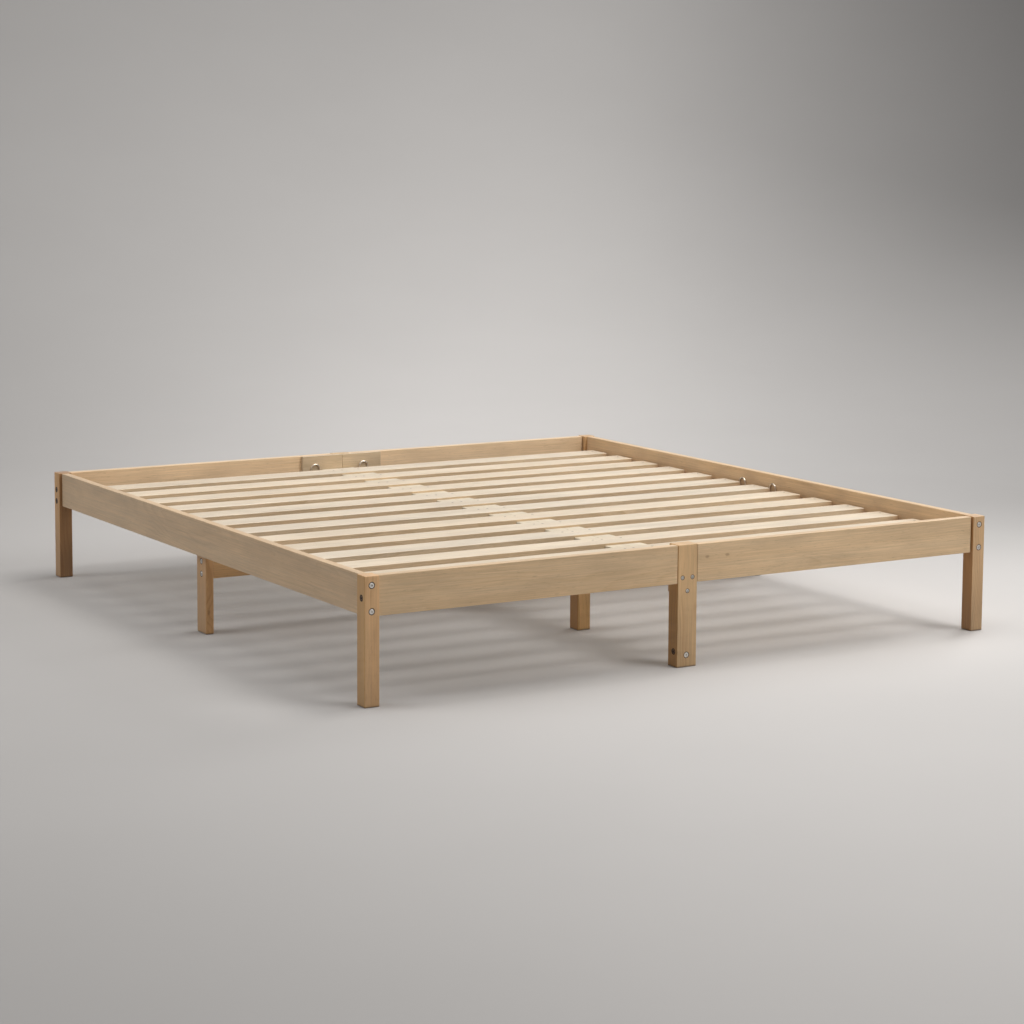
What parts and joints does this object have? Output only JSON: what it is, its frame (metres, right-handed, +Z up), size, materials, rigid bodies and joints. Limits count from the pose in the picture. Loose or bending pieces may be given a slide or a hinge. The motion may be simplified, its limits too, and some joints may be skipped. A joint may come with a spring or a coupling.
{
  "type": "platform bed frame",
  "caption": "Low wooden platform bed frame: bolted corner posts and rail boards around a slatted deck on a centre spine with middle legs.",
  "frame": {"origin": "on the floor under the centre of the frame's outline", "axes": "+Z up, +Y from the foot end to the head end, +X to the right-hand side seen from the foot end"},
  "size_m": [2, 2.102, 0.332],
  "materials": {
    "post_wood": "pale oiled wood, satin, grain along the post",
    "rail_wood": "pale oiled wood, satin, grain along the board",
    "under_wood": "pale sawn wood, matt, grain along the board",
    "slat_wood": "cream sanded wood, matt, grain along the slat",
    "bolt_zinc": "bright zinc plate",
    "hoop_zinc": "dull zinc plate"
  },
  "bodies": {
    "root": {"corner_post_front_left": "post_wood", "corner_post_front_right": "post_wood", "corner_post_back_left": "post_wood", "corner_post_back_right": "post_wood", "middle_post_front": "post_wood", "middle_post_back": "post_wood", "side_leg_left": "post_wood", "side_leg_right": "post_wood", "centre_leg_front": "post_wood", "centre_leg_back": "post_wood", "side_rail_left": "rail_wood", "side_rail_right": "rail_wood", "front_rail_left": "rail_wood", "front_rail_right": "rail_wood", "back_rail_left": "rail_wood", "back_rail_right": "rail_wood", "back_splice_left": "rail_wood", "back_splice_right": "rail_wood", "spine_joist_left": "under_wood", "spine_joist_right": "under_wood", "cleat_front": "under_wood", "cleat_back": "under_wood", "side_ledger_left": "under_wood", "side_ledger_right": "under_wood", "cross_beam": "under_wood", "slat_01": "slat_wood", "slat_02": "slat_wood", "slat_03": "slat_wood", "slat_04": "slat_wood", "slat_05": "slat_wood", "slat_06": "slat_wood", "slat_07": "slat_wood", "slat_08": "slat_wood", "slat_09": "slat_wood", "slat_10": "slat_wood", "slat_11": "slat_wood", "slat_12": "slat_wood", "slat_13": "slat_wood", "bolt_front_left_upper": "bolt_zinc", "bolt_front_left_lower": "bolt_zinc", "bolt_front_right_upper": "bolt_zinc", "bolt_front_right_lower": "bolt_zinc", "bolt_front_left_side": "bolt_zinc", "bolt_back_left_upper": "bolt_zinc", "bolt_back_left_lower": "bolt_zinc", "bolt_middle_post_a": "bolt_zinc", "bolt_middle_post_b": "bolt_zinc", "bolt_middle_post_cleat": "bolt_zinc", "bolt_middle_post_low": "bolt_zinc", "bolt_middle_post_side": "bolt_zinc", "bolt_side_leg_upper": "bolt_zinc", "bolt_side_leg_lower": "bolt_zinc", "hoop_left_front": "hoop_zinc", "hoop_left_back": "hoop_zinc", "hoop_right_front": "hoop_zinc", "hoop_right_back": "hoop_zinc", "hoop_back_left": "hoop_zinc", "hoop_back_right": "hoop_zinc"}
  },
  "joints": []
}
